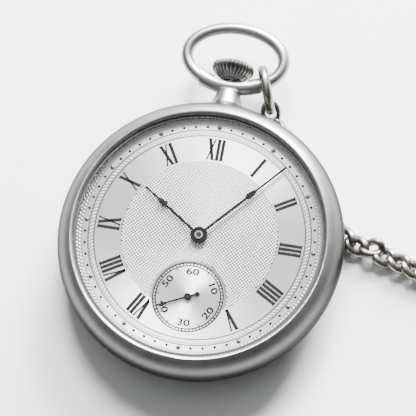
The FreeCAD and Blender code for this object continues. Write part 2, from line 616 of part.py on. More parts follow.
def make_plates():
    thickness = "dial_z - dial_thickness - plate_z"
    blank = cylinder("movement_radius", thickness, z="plate_z")
    tools = [cylinder(3.55, 2, z=7.0), cylinder(3.3, 2, *MINUTE, z=7.0), cylinder(0.75, 3, z=6),
             box(4.6, 3.8, 3, -2.3, 9.3, 6), box(5.4, 3.0, 0.75, -4.3, 13.5, 7.2),
             box(1.3, 2.2, 2, -0.8, 14.0, 6),
             cylinder(0.24, 3, *FOURTH, z=6), cylinder(0.72, 1, *BARREL, z="plate_z - 0.5")]
    tools += [cylinder(0.4, 2, side * 13, -9, 6.5) for side in (-1, 1)]
    tools += [cylinder(0.42, 1, *place, z="plate_z - 0.1") for place, _ in screw_places()]
    for place in PLATE_JEWELS:
        tools.append(cylinder(0.5, 0.4, *place, z="plate_z - 0.1"))
        tools.append(cylinder(0.16, 0.5, *place, z="plate_z"))
    posts = [cylinder(0.27, 0.75, *MINUTE, z=7.0),
             cylinder(0.27, 0.5, "lever_pivot_x", "lever_pivot_y", 7.15)]
    keep(fuse(cut(blank, *tools), *posts), "main_plate")

    ceiling = "plate_z - train_z"
    disc = cylinder("movement_radius - 0.1", "plate_z - bridge_z", z="bridge_z")
    upper = common(disc, box(40, 20, 10, -20, 0.85, 0))
    tools = [cylinder("barrel_radius + 0.4", ceiling, *BARREL, z="train_z"),
             cylinder(6.0, ceiling, z="train_z"), cylinder(0.72, 2, *BARREL, z=3),
             box(5.0, 3.9, 5, -2.5, 9.3, 4.3), box(4.2, 1.2, 1.6, -2.1, 11.8, 3.0),
             cylinder("stem_radius + 0.06", 8, y=12, z="girdle_z", along="y"),
             cylinder("stem_radius + 0.06", 1.3, y=8.2, z="girdle_z", along="y"),
             box(1.3, 2.2, 1, -0.8, 14.0, "girdle_z"), cylinder(0.42, 4, 11.9, 2.4, 3)]
    tools += [cylinder(1.25, 3, side * 18.75, 2, 3.6) for side in (-1, 1)]
    tools += [cylinder(0.42, 4, *place, z=3) for place, _ in screw_places()[:3]]
    keep(cut(upper, *tools), "barrel_bridge")

    lower = common(cylinder("movement_radius - 0.1", "plate_z - bridge_z", z="bridge_z"),
                   box(25, 19, 10, -19.2, -18.3, 0))
    tools = [cylinder(6.0, ceiling, z="train_z"), cylinder(5.25, ceiling, *THIRD, z="train_z"),
             cylinder(4.35, ceiling, *FOURTH, z="train_z"),
             cylinder(2.75, ceiling, *ESCAPE, z="train_z"),
             cylinder("barrel_radius + 0.4", ceiling, *BARREL, z="train_z"),
             cylinder("balance_radius + 0.4", 10, *BALANCE, z=0), cylinder(0.18, 3, z=3)]
    tools += [cylinder(0.5, 0.31, *place, z="train_z - 0.3") for place in BRIDGE_JEWELS]
    tools += [cylinder(0.16, 3, *place, z=3) for place in BRIDGE_JEWELS]
    tools += [cylinder(0.42, 4, *place, z=3) for place, _ in screw_places()[3:5]]
    keep(cut(lower, *tools), "train_bridge")

    angle = math.degrees(math.atan2(value(BALANCE[1]) + 1.6, value(BALANCE[0]) - 15.2))
    arm = box(8.6, 2.6, 0.85, 15.2, -1.6, 3.4, Rotation(Vector(0, 0, 1), angle))
    side = box(8.6, 2.6, 0.85, 15.2 + 2.6 * math.sin(math.radians(angle)),
               -1.6 - 2.6 * math.cos(math.radians(angle)), 3.4, Rotation(Vector(0, 0, 1), angle))
    boss = cylinder(1.9, 0.85, *BALANCE, z=3.4)
    foot = cylinder(2.1, 2.9, 15.2, -1.6, 3.4)
    keep(cut(fuse(arm, side, boss, foot), cylinder(0.42, 4, 15.2, -1.6, 3),
             cylinder(0.5, 0.31, *BALANCE, z=3.95), cylinder(0.16, 2, *BALANCE, z=3)),
         "balance_cock")
    bridge = plate([(-0.5, -2.6), (0.5, -2.6), (0.5, 2.6), (-0.5, 2.6)], 0.3, *PALLET, z=5.3,
                   turn=Rotation(Vector(0, 0, 1), value("lever_angle")))
    stands = [cylinder(0.45, 1.0, *polar_point(2.4, "(lever_angle + %d)" % turn, *PALLET), z=5.3)
              for turn in (90, 270)]
    keep(cut(fuse(bridge, *stands), cylinder(0.11, 1, *PALLET, z=5)), "pallet_bridge")
    index = fuse(tube(1.5, 1.0, 0.25, *BALANCE, z=3.12),
                 box(2.2, 0.35, 0.25, BALANCE[0] + " + 1.3", BALANCE[1] + " - 0.175", 3.12))
    keep(index, "regulator")

    stones = [cut(cylinder(0.5, 0.3, *place, z="plate_z"), cylinder(0.13, 1, *place, z=6))
              for place in (THIRD, ESCAPE, PALLET, BALANCE)]
    stones += [cut(cylinder(0.5, 0.3, *FOURTH, z="plate_z"), cylinder(0.23, 1, *FOURTH, z=6))]
    stones += [cut(cylinder(0.5, 0.3, *place, z="train_z - 0.3"), cylinder(0.13, 1, *place, z=4))
               for place in BRIDGE_JEWELS]
    stones += [cut(cylinder(0.5, 0.3, *BALANCE, z=3.95), cylinder(0.13, 1, *BALANCE, z=3.5))]
    keep(group(*stones), "jewels")
    keep(group(*[screw(*place, head, 3.35) for place, head in screw_places()]), "bridge_screws")


def make_winding_work():
    keep(cut(gear(34, 0.2577, 0.4, *BARREL, z=3.28, reach=0.1), cylinder(0.7, 1, *BARREL, z=3)),
         "ratchet_wheel")
    keep(cut(gear(26, 0.2577, 0.4, 0, "crown_wheel_y", 3.28, reach=0.1),
             cylinder(1.2, 1, 0, "crown_wheel_y", 3)), "crown_wheel")
    keep(cut(fuse(cylinder(1.15, 0.72, 0, "crown_wheel_y", 2.98),
                  cylinder(1.6, 0.28, 0, "crown_wheel_y", 2.98)),
             box(3.4, 0.3, 0.2, -1.7, "crown_wheel_y - 0.15", 2.97)), "crown_wheel_core")
    cap = cut(cylinder(1.5, 0.3, *BARREL, z=2.98),
              box(3.2, 0.3, 0.2, BARREL[0] + " - 1.6", BARREL[1] + " - 0.15", 2.97))
    post = cylinder(0.33, 0.8, *BARREL, z=3.2)
    keep(fuse(cap, post), "ratchet_screw")

    beak = plate([(-0.5, -0.75), (0.5, -0.75), (0.35, 0.9), (-0.95, 1.55), (-1.1, 1.25), (-0.6, 0.6)],
                 0.35, 11.9, 2.4, 3.3)
    keep(cut(fuse(beak, cylinder(0.8, 0.35, 11.9, 2.4, 3.3), cylinder(0.38, 1.15, 11.9, 2.4, 3.3)),
             box(1.3, 0.2, 0.15, 11.25, 2.3, 3.29)), "click")
    keep(fuse(box(0.25, 4.2, 0.35, 12.85, 2.0, 3.32), cylinder(0.5, 0.36, 12.975, 6.3, 3.32),
              cylinder(0.2, 0.5, 12.975, 6.3, 3.3)), "click_spring")

    keep(cut(gear(15, 0.24, 0.95, 0, 11.95, "girdle_z", STEM_AXIS),
             cylinder("stem_radius + 0.02", 3, y=11, z="girdle_z", along="y")), "winding_pinion")
    slider = cylinder(1.2, 1.4, y=10.0, z="girdle_z", along="y")
    groove = tube(1.5, 0.95, 0.4, y=10.45, z="girdle_z", along="y")
    keep(cut(slider, groove, cylinder("stem_radius - 0.02", 3, y=9.5, z="girdle_z", along="y")),
         "sliding_pinion")
    lever = plate([(-3.9, 13.95), (-2.6, 13.85), (0.4, 14.15), (0.4, 14.75), (-2.6, 14.9),
                   (-3.9, 14.8)], 0.35, z=7.25)
    finger = cylinder(0.28, 1.5, 0, 14.55, 5.98)
    pivot = cylinder(0.3, 1, "lever_pivot_x", "lever_pivot_y", 7)
    keep(cut(fuse(lever, finger), pivot), "setting_lever")


# ---- bolt ring and chain -----------------------------------------------------------

RING_CENTRE = Vector(5.87, 27.15, 4.8)
RING_NORMAL = Vector(0.936, 0.35, 0)
LINK_ANGLE = 44
# own X of the ring points along the ring's plane towards the case, own Y points down
RING_TURN = Rotation(Vector(0.35, -0.936, 0), Vector(0, 0, 1), RING_NORMAL, "ZXY")
CHAIN_ROUTE = [
    (7.5, 22.85), (10.3, 18.6), (13.9, 14.9), (16.7, 11.6), (18.6, 8.4), (21.7, 5.6), (25.7, 3.7),
    (31.3, 2.8), (36.6, 0.9), (41.4, -2.0), (45.6, -5.3)]


def ring_arc(tube_radius, first, last, radius="ring_radius"):
    """Stretch of the bolt ring's round tube; angles run from its own X towards its Y."""
    item = doc.addObject("Part::Torus", "Torus")
    bind(item, Radius1=radius, Radius2=tube_radius)
    item.Angle3 = last - first
    own = Rotation(Vector(0, 0, 1), first)
    item.Placement = Placement(RING_CENTRE, RING_TURN.multiply(own))
    return item


def link(half_length, half_width, wire, place):
    """Round-ended oval link of round wire, long axis along its own X."""
    spine = doc.addObject("Part::Ellipse", "LinkOval")
    spine.MajorRadius = half_length
    spine.MinorRadius = half_width
    section = doc.addObject("Part::Circle", "LinkWire")
    section.Radius = wire
    section.Placement = Placement(Vector(half_length, 0, 0), Rotation(Vector(1, 0, 0), -90))
    item = sweep(spine, [section])
    item.Placement = place
    return item


def cord_path(points, height):
    """Straight runs joined by tangent arcs, as large as the runs allow."""
    route = [Vector(x, y, height) for x, y in points]
    edges = []
    start = route[0]
    for before, corner, after in zip(route, route[1:], route[2:]):
        into = corner - before
        out = after - corner
        turn = into.getAngle(out)
        radius = 0.45 * min(into.Length, out.Length) / math.tan(turn / 2)
        print("chain radius %.1f mm, turn %.0f degrees" % (radius, math.degrees(turn)))
        reach = 0.45 * min(into.Length, out.Length)
        first = corner - Vector(into).normalize() * reach
        last = corner + Vector(out).normalize() * reach
        bisector = (Vector(out).normalize() - Vector(into).normalize()).normalize()
        middle = corner + bisector * (radius / math.cos(turn / 2) - radius)
        edges.append(Part.LineSegment(start, first).toShape())
        edges.append(Part.Arc(first, middle, last).toShape())
        start = last
    edges.append(Part.LineSegment(start, route[-1]).toShape())
    return Part.Wire(edges)


def make_bolt_ring():
    shell = ring_arc("ring_wire", 115, 425)
    hollow = ring_arc("ring_bore", 53, 300)
    thumb_slot = ring_arc(0.45, 147, 217, "ring_radius + ring_wire")
    keep(cut(shell, hollow, thumb_slot), "bolt_ring")
    bolt = ring_arc("ring_bore - 0.06", 57, 165)
    thumb = doc.addObject("Part::Box", "Thumb")
    bind(thumb, Length=1.3, Width=0.45, Height=0.36)
    lean = Rotation(Vector(0, 0, 1), 157)
    corner = lean.multVec(Vector(3.5, -0.22, -0.18))
    thumb.Placement = Placement(RING_CENTRE + RING_TURN.multVec(corner), RING_TURN.multiply(lean))
    keep(fuse(bolt, thumb), "ring_bolt")
    keep(ring_arc(0.3, 168, 298), "ring_spring")
    outward = RING_TURN.multVec(Vector(math.cos(math.radians(LINK_ANGLE)),
                                       math.sin(math.radians(LINK_ANGLE)), 0))
    middle = RING_CENTRE + outward * (value("ring_radius") + 0.75)
    keep(link(1.9, 1.25, 0.42, Placement(middle, Rotation(outward, RING_NORMAL, Vector(), "XYZ"))),
         "ring_link")


def make_chain():
    half_height = value("chain_half_height")
    path = cord_path(CHAIN_ROUTE, half_height)
    spine = doc.addObject("Part::Feature", "ChainPath")
    spine.Shape = path
    start = path.Edges[0].tangentAt(path.Edges[0].FirstParameter)
    side = Vector(0, 0, 1).cross(start)
    section = Part.Wire(Part.Ellipse(Vector(), value("chain_half_width"), half_height).toShape())
    section.Placement = Placement(Vector(*CHAIN_ROUTE[0], half_height),
                                  Rotation(side, Vector(0, 0, 1), start, "ZXY"))
    run = doc.addObject("Part::Feature", "ChainRun")
    run.Shape = path.makePipeShell([section], True, False)
    keep(run, "chain_run")
    area = math.pi * value("chain_half_width") * half_height
    print("chain run %.1f mm, volume %.1f of %.1f" % (path.Length, run.Shape.Volume,
                                                      area * path.Length))
    keep(tube("coil_outer", "coil_inner", "2 * chain_half_height", "coil_x", "coil_y"),
         "chain_coil")
    link_place = Vector(value("coil_x - 9.95"), value("coil_y"), 1.62)
    keep(link(1.7, 1.15, 0.45, Placement(link_place, Rotation(Vector(1, 0, 0), 90))), "bar_link")
    shaft = cylinder(0.75, "bar_length - 2", "coil_x - 5.6", "coil_y + 1 - bar_length / 2", 1.1,
                     along="y")
    ends = [sphere(1.1, "coil_x - 5.6", "coil_y %s (bar_length / 2 - 1.1)" % sign, 1.1)
            for sign in "+-"]
    eye = doc.addObject("Part::Torus", "Eye")
    eye.Radius1 = 1.5
    eye.Radius2 = 0.4
    put(eye, "coil_x - 7.6", "coil_y", 1.1)
    keep(fuse(shaft, *ends, eye), "chain_bar")


# ---- build, check and write --------------------------------------------------------

for make in (make_case, make_pendant, make_crown, make_dial, make_hands, make_motion_work,
             make_train, make_springs, make_plates, make_winding_work, make_bolt_ring,
             make_chain):
    make()
doc.recompute()

failed = [item.Label for item in doc.Objects if {"Invalid", "Error"} & set(item.State)]
broken = [item.Label for item in kept if item.Shape.isNull() or not item.Shape.isValid()]
if failed or broken:
    raise RuntimeError("failed: %s, broken: %s" % (failed, broken))

os.makedirs("parts", exist_ok=True)
for item in kept:
    item.Shape.exportStep("parts/%s.step" % item.Label)
    print("%-22s %2d solid(s) %9.2f mm3" % (item.Label, len(item.Shape.Solids), item.Shape.Volume))
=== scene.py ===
import json
import math

import bpy
from mathutils import Matrix, Vector


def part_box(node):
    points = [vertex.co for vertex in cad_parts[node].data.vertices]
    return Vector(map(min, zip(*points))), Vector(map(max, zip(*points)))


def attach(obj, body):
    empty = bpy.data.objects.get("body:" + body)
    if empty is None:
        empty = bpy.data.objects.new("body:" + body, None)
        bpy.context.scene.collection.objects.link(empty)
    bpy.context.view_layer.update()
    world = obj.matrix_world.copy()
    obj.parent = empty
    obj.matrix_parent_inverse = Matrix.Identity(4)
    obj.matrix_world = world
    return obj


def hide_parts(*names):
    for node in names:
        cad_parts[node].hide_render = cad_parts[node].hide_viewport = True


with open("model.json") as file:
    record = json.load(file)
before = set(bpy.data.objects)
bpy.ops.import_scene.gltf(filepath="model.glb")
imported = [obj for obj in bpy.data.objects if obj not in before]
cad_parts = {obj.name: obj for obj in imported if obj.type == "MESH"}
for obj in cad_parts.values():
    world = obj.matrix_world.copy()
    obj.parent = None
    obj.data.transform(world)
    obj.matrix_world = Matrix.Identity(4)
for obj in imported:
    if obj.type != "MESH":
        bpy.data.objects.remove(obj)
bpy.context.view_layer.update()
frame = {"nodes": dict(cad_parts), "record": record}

# Looks of an open-faced pocket watch and its chain. Everything is in metres in the row frame:
# the origin is under the centre of the case back, +Z leaves the dial, +Y points at twelve.

MM = 0.001

DIAL_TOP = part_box("dial")[1].z
DIAL_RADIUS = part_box("dial")[1].x
TRACK = DIAL_RADIUS * 18.33 / 20.3            # radius of the minute track
SECONDS_Y = -10.08 * MM                       # centre of the seconds sub-dial
RECESS_RADIUS = 5.87 * MM
RECESS_DEPTH = 0.15 * MM
GIRDLE = (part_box("bow")[0].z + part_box("bow")[1].z) / 2

LINK_PITCH = 2.4 * MM
RAISED_LINK = 11                              # lies askew on its neighbours
LINK_WIRE = 1.3 * MM
# the route of the chain on the floor, in millimetres
CHAIN_ROUTE = [
    (7.5, 22.85), (10.3, 18.6), (13.9, 14.9), (16.7, 11.6), (18.6, 8.4), (21.7, 5.6), (25.7, 3.7),
    (31.3, 2.8), (36.6, 0.9), (41.4, -2.0), (45.6, -5.3)]
COIL_CENTRE = Vector((61.5, 10.0))
COIL_START_ANGLE = -136
COIL_STEPS = 26
COIL_STEP = 24
COIL_START_RADIUS = 21.9
COIL_SHRINK = 3.8                             # millimetres per turn
COIL_TAIL = [(47.7, 15.4), (47.2, 12.2), (49.2, 9.9)]


# ---- node helpers ------------------------------------------------------------------

class Nodes:
    """Short hand for building one material's node tree."""

    def __init__(self, name):
        self.material = bpy.data.materials.new(name)
        self.material.use_nodes = True
        self.tree = self.material.node_tree
        self.shader = self.tree.nodes["Principled BSDF"]
        self.output = self.tree.nodes["Material Output"]

    def add(self, kind, **settings):
        node = self.tree.nodes.new(kind)
        for key, setting in settings.items():
            setattr(node, key, setting)
        return node

    def link(self, source, target):
        self.tree.links.new(source, target)

    def feed(self, socket, value):
        if isinstance(value, bpy.types.NodeSocket):
            self.link(value, socket)
        else:
            socket.default_value = value

    def math(self, operation, first, second=0.0):
        node = self.add("ShaderNodeMath", operation=operation)
        self.feed(node.inputs[0], first)
        self.feed(node.inputs[1], second)
        return node.outputs[0]

    def place(self):
        """Coordinates of the surface in the row frame, in metres."""
        return self.add("ShaderNodeTexCoord").outputs["Object"]

    def split(self, vector):
        node = self.add("ShaderNodeSeparateXYZ")
        self.link(vector, node.inputs[0])
        return node.outputs

    def join(self, x, y, z):
        node = self.add("ShaderNodeCombineXYZ")
        for socket, value in zip(node.inputs, (x, y, z)):
            self.feed(socket, value)
        return node.outputs[0]

    def noise(self, vector, scale, detail=3.0, roughness=0.6):
        node = self.add("ShaderNodeTexNoise")
        self.link(vector, node.inputs["Vector"])
        node.inputs["Scale"].default_value = scale
        node.inputs["Detail"].default_value = detail
        node.inputs["Roughness"].default_value = roughness
        return node.outputs["Fac"]

    def spread(self, value, low, high, to_low, to_high):
        node = self.add("ShaderNodeMapRange")
        self.link(value, node.inputs["Value"])
        for key, number in (("From Min", low), ("From Max", high), ("To Min", to_low),
                            ("To Max", to_high)):
            node.inputs[key].default_value = number
        return node.outputs["Result"]

    def blend(self, factor, first, second):
        node = self.add("ShaderNodeMix", data_type="RGBA")
        self.feed(node.inputs["Factor"], factor)
        self.feed(node.inputs["A"], first)
        self.feed(node.inputs["B"], second)
        return node.outputs["Result"]

    def bump(self, height, strength, distance):
        node = self.add("ShaderNodeBump")
        self.link(height, node.inputs["Height"])
        node.inputs["Strength"].default_value = strength
        node.inputs["Distance"].default_value = distance
        self.link(node.outputs["Normal"], self.shader.inputs["Normal"])

    def polar(self, centre=(0.0, 0.0)):
        """Radius and angle about a line along Z, and the height."""
        x, y, z = self.split(self.place())
        x = self.math("SUBTRACT", x, centre[0])
        y = self.math("SUBTRACT", y, centre[1])
        radius = self.math("SQRT", self.math("ADD", self.math("MULTIPLY", x, x),
                                             self.math("MULTIPLY", y, y)))
        return radius, self.math("ARCTAN2", y, x), z


def grey(level, tint=(0.0, 0.0, 0.0)):
    return tuple(level + shift for shift in tint) + (1.0,)


# ---- materials ---------------------------------------------------------------------

def satin_steel(name, level, roughness, painted_flank_shade=0.2, brushed=True):
    """Case metal: fine circular brushing round the dial's axis, faint stains, and painted shade that
    darkens the base colour from the crest down the flanks.
    """
    n = Nodes(name)
    radius, angle, z = n.polar()
    streaks = n.noise(n.join(n.math("MULTIPLY", radius, 9.0), n.math("MULTIPLY", angle, 0.02),
                             n.math("MULTIPLY", z, 9.0)), 1400, 2.0)
    cloud = n.noise(n.place(), 140, 4.0)
    grain = n.noise(n.place(), 9000, 2.0)
    stain = n.spread(cloud, 0.35, 0.7, 0.0, 1.0)
    tone = n.blend(stain, grey(level * 0.9, (0.01, 0.0, -0.01)), grey(level, (0.0, 0.0, 0.004)))
    # painted shade: below the crest the base colour fades down to level × the flank factor towards
    # the girdle
    crest = n.spread(z, 7.8 * MM, 10.6 * MM, 0.0, 1.0)
    n.link(n.blend(crest, grey(level * painted_flank_shade), tone), n.shader.inputs["Base Color"])
    texture = streaks if brushed else grain
    n.link(n.math("ADD", n.spread(cloud, 0.3, 0.7, roughness - 0.04, roughness + 0.05),
                  n.spread(texture, 0.3, 0.7, -0.04, 0.04)), n.shader.inputs["Roughness"])
    n.bump(n.math("ADD", n.math("MULTIPLY", streaks, 0.6 if brushed else 0.0),
                  n.math("MULTIPLY", grain, 0.5)), 0.12, 0.01 * MM)
    n.shader.inputs["Metallic"].default_value = 1.0
    n.shader.inputs["Specular Tint"].default_value = grey(0.4)
    return n.material


def polished_steel(name, level, roughness, tint=(0.0, 0.0, 0.0)):
    n = Nodes(name)
    cloud = n.noise(n.place(), 500, 4.0)
    scratches = n.noise(n.place(), 5000, 3.0)
    n.link(n.blend(n.spread(cloud, 0.35, 0.65, 0.0, 1.0), grey(level * 0.86, tint),
                   grey(level, tint)), n.shader.inputs["Base Color"])
    n.link(n.math("ADD", n.spread(cloud, 0.3, 0.7, roughness - 0.03, roughness + 0.05),
                  n.spread(scratches, 0.3, 0.7, -0.02, 0.04)), n.shader.inputs["Roughness"])
    n.bump(scratches, 0.12, 0.01 * MM)
    n.shader.inputs["Metallic"].default_value = 1.0
    return n.material


def aged_steel(name):
    """Crown metal: tarnish and dirt between the ribs, bare metal on their crests, and painted shade
    darkening the ribs towards the crown's outer end.
    """
    n = Nodes(name)
    x, y, z = n.split(n.place())
    z = n.math("SUBTRACT", z, GIRDLE)
    depth = n.math("SQRT", n.math("ADD", n.math("MULTIPLY", x, x), n.math("MULTIPLY", z, z)))
    # painted shade: the rise along the crown's axis darkens the ribs towards its outer end, so the
    # top flank is dark all over
    rise = n.math("MULTIPLY", n.math("SUBTRACT", y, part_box("crown")[0].y), 1.3)
    crest = n.spread(n.math("SUBTRACT", depth, rise), 0.95 * MM, 1.3 * MM, 0.0, 1.0)
    dirt = n.noise(n.place(), 1500, 4.0)
    n.link(n.blend(n.math("MULTIPLY", crest, n.spread(dirt, 0.35, 0.6, 0.5, 1.0)),
                   grey(0.06, (0.008, 0.005, 0.0)), grey(0.42, (0.015, 0.01, 0.0))),
           n.shader.inputs["Base Color"])
    n.link(n.spread(dirt, 0.3, 0.7, 0.45, 0.28), n.shader.inputs["Roughness"])
    n.bump(dirt, 0.3, 0.03 * MM)
    n.shader.inputs["Metallic"].default_value = 1.0
    return n.material


def oxidised_steel(name):
    """Chain metal: dark oxide in patches, bright where the links rub."""
    n = Nodes(name)
    patches = n.noise(n.place(), 700, 4.0)
    fine = n.noise(n.place(), 4000, 3.0)
    oxide = n.spread(n.math("ADD", patches, n.math("MULTIPLY", fine, 0.35)), 0.52, 0.82, 0.0, 1.0)
    n.link(n.blend(oxide, grey(0.36, (0.03, 0.014, -0.016)), grey(0.075, (0.014, 0.007, -0.005))),
           n.shader.inputs["Base Color"])
    n.link(n.spread(oxide, 0.0, 1.0, 0.24, 0.48), n.shader.inputs["Roughness"])
    n.bump(fine, 0.2, 0.03 * MM)
    n.shader.inputs["Metallic"].default_value = 1.0
    return n.material


FIELD_RADIUS = 0.685 * TRACK
# painted shade: base colours of the dial where it shows between the raised lozenges
PAINTED_GROOVE_SHADE = 0.2
PAINTED_RIM_GROOVE_SHADE = 0.42


def sunray_silver(name, centre=(0.0, 0.0), level=0.72):
    """Silvered dial brushed in rays from a centre; about the main centre its base colour carries
    painted shade, darker inside the field and under the rope and border.
    """
    n = Nodes(name)
    radius, angle, _ = n.polar(centre)
    rays = n.noise(n.join(n.math("MULTIPLY", radius, 2.0), n.math("MULTIPLY", angle, 1.2), 0.0),
                   160, 3.0)
    haze = n.noise(n.place(), 200, 3.0)
    silver = n.blend(n.spread(haze, 0.35, 0.65, 0.0, 1.0), grey(level * 0.97, (0.0, 0.0, -0.008)),
                     grey(level))
    if not any(centre):
        field = n.math("LESS_THAN", radius, FIELD_RADIUS)
        rope = n.math("COMPARE", radius, 0.945 * TRACK)
        rope.node.inputs[2].default_value = 0.022 * TRACK
        border = n.math("GREATER_THAN", radius, 1.024 * TRACK)
        # painted shade: darker dial inside the field radius and under the rope and border rings
        silver = n.blend(field, silver, grey(PAINTED_GROOVE_SHADE))
        silver = n.blend(n.math("MAXIMUM", rope, border), silver, grey(PAINTED_RIM_GROOVE_SHADE))
    n.link(silver, n.shader.inputs["Base Color"])
    n.link(n.spread(rays, 0.3, 0.7, 0.3, 0.38), n.shader.inputs["Roughness"])
    n.bump(rays, 0.12, 0.01 * MM)
    unit = n.add("ShaderNodeVectorMath", operation="NORMALIZE")
    n.link(n.join(n.math("COSINE", angle), n.math("SINE", angle), 0.0), unit.inputs[0])
    n.link(unit.outputs[0], n.shader.inputs["Tangent"])
    n.shader.inputs["Anisotropic"].default_value = 0.75
    n.shader.inputs["Metallic"].default_value = 1.0
    return n.material


def frosted_silver(name, level=0.9, roughness=0.4):
    """Engine-turned silver: bright crests, painted shade greying the cuts."""
    n = Nodes(name)
    z = n.split(n.place())[2]
    # painted shade: the base colour darkens to level × 0.45 down in the cuts between the lozenges
    height = n.spread(z, DIAL_TOP, DIAL_TOP + 0.07 * MM, 0.0, 1.0)
    haze = n.noise(n.place(), 2500, 3.0)
    n.link(n.blend(n.math("MULTIPLY", height, n.spread(haze, 0.3, 0.7, 0.85, 1.0)),
                   grey(level * 0.45), grey(level)), n.shader.inputs["Base Color"])
    n.link(n.spread(haze, 0.3, 0.7, roughness - 0.05, roughness + 0.05),
           n.shader.inputs["Roughness"])
    n.bump(haze, 0.1, 0.01 * MM)
    n.shader.inputs["Metallic"].default_value = 0.45
    return n.material


def enamel(name, colour, roughness, gloss=0.5, grain=0.08):
    """Paint or printing ink with a faint texture."""
    n = Nodes(name)
    n.shader.inputs["Specular IOR Level"].default_value = gloss
    speckle = n.noise(n.place(), 700, 3.0)
    lighter = tuple(c * 1.4 for c in colour)
    n.link(n.blend(n.spread(speckle, 0.3, 0.7, 0.0, 1.0), (*colour, 1.0), (*lighter, 1.0)),
           n.shader.inputs["Base Color"])
    n.link(n.spread(speckle, 0.3, 0.7, roughness - 0.04, roughness + 0.05),
           n.shader.inputs["Roughness"])
    n.bump(speckle, grain, 0.01 * MM)
    return n.material


def tinted_metal(name, colour, roughness, stripes=0.0):
    """Movement metals; stripes are the parallel waves ground into the bridges."""
    n = Nodes(name)
    x, y, z = n.split(n.place())
    cloud = n.noise(n.place(), 600, 4.0)
    wave = n.math("SINE", n.math("MULTIPLY", n.math("ADD", x, y), 3200))
    darker = tuple(c * 0.8 for c in colour)
    tone = n.blend(n.spread(cloud, 0.3, 0.7, 0.0, 1.0), (*darker, 1.0), (*colour, 1.0))
    above = n.math("GREATER_THAN", z, DIAL_TOP)         # arbor ends that show through the dial
    n.link(n.blend(above, tone, grey(0.04)), n.shader.inputs["Base Color"])
    n.link(n.math("ADD", n.spread(cloud, 0.3, 0.7, roughness - 0.05, roughness + 0.05),
                  n.math("MULTIPLY", wave, 0.05 * stripes)), n.shader.inputs["Roughness"])
    n.bump(n.math("ADD", n.math("MULTIPLY", wave, stripes), n.math("MULTIPLY", cloud, 0.3)),
           0.2, 0.02 * MM)
    n.shader.inputs["Metallic"].default_value = 1.0
    return n.material


def clear_glass(name):
    """Domed crystal; lamps shine through it onto the dial."""
    n = Nodes(name)
    smear = n.noise(n.place(), 90, 4.0)
    n.shader.inputs["Base Color"].default_value = (1.0, 1.0, 1.0, 1.0)
    n.shader.inputs["Transmission Weight"].default_value = 1.0
    n.shader.inputs["IOR"].default_value = 1.05
    n.link(n.spread(smear, 0.3, 0.8, 0.0, 0.03), n.shader.inputs["Roughness"])
    rays = n.add("ShaderNodeLightPath")
    clear = n.add("ShaderNodeBsdfTransparent")
    either = n.add("ShaderNodeMixShader")
    n.link(rays.outputs["Is Shadow Ray"], either.inputs[0])
    n.link(n.shader.outputs[0], either.inputs[1])
    n.link(clear.outputs[0], either.inputs[2])
    n.link(either.outputs[0], n.output.inputs["Surface"])
    return n.material


def make_materials():
    made = {
        # both steels carry painted shade on their lower flanks: the case fades to 0.2 of its level,
        # the bow to 0.9
        "case_steel": satin_steel("case_steel", 0.34, 0.4),
        "bow_steel": satin_steel("bow_steel", 0.35, 0.36, painted_flank_shade=0.9, brushed=False),
        "aged_steel": aged_steel("aged_steel"),
        "chain_steel": oxidised_steel("chain_steel"),
        "dial_silver": sunray_silver("dial_silver"),
        "seconds_silver": sunray_silver("seconds_silver", (0.0, SECONDS_Y)),
        "guilloche": frosted_silver("guilloche"),
        # painted shade: the border's lozenges are the guilloche silver at a darker level, 0.6 against
        # 0.9
        "border_silver": frosted_silver("border_silver", 0.6),
        "pip_silver": polished_steel("pip_silver", 0.15, 0.3),
        "hand_black": enamel("hand_black", (0.002, 0.002, 0.0025), 0.35, gloss=0.12, grain=0.01),
        "ink": enamel("ink", (0.003, 0.003, 0.0035), 0.6, gloss=0.1, grain=0.01),
        "black_rubber": enamel("black_rubber", (0.02, 0.02, 0.02), 0.7),
        "gilt_brass": tinted_metal("gilt_brass", (0.78, 0.58, 0.28), 0.3),
        "nickel": tinted_metal("nickel", (0.62, 0.61, 0.58), 0.28, stripes=1.0),
        "screw_steel": polished_steel("screw_steel", 0.5, 0.2),
        "spring_steel": polished_steel("spring_steel", 0.3, 0.25, (-0.02, 0.0, 0.05)),
        "ruby": enamel("ruby", (0.5, 0.01, 0.05), 0.1),
        "crystal_glass": clear_glass("crystal_glass"),
    }
    slots = {entry["node"]: entry["material_slot"] for entry in frame["record"]["subparts"]}
    for node, piece in frame["nodes"].items():
        look = "bow_steel" if node in ("bow", "pendant") else slots[node]
        piece.data.materials.clear()
        piece.data.materials.append(made[look])
        for face in piece.data.polygons:
            face.material_index = 0
    return made


# ---- mesh helpers ------------------------------------------------------------------

def add_piece(name, points, faces, look, body="case", slot="dial_silver", smooth=False):
    mesh = bpy.data.meshes.new(name)
    mesh.from_pydata([tuple(p) for p in points], [], faces)
    mesh.validate()
    mesh.update()
    piece = bpy.data.objects.new(name, mesh)
    bpy.context.scene.collection.objects.link(piece)
    mesh.materials.append(materials[look])
    for face in mesh.polygons:
        face.use_smooth = smooth
    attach(piece, body)
    return piece


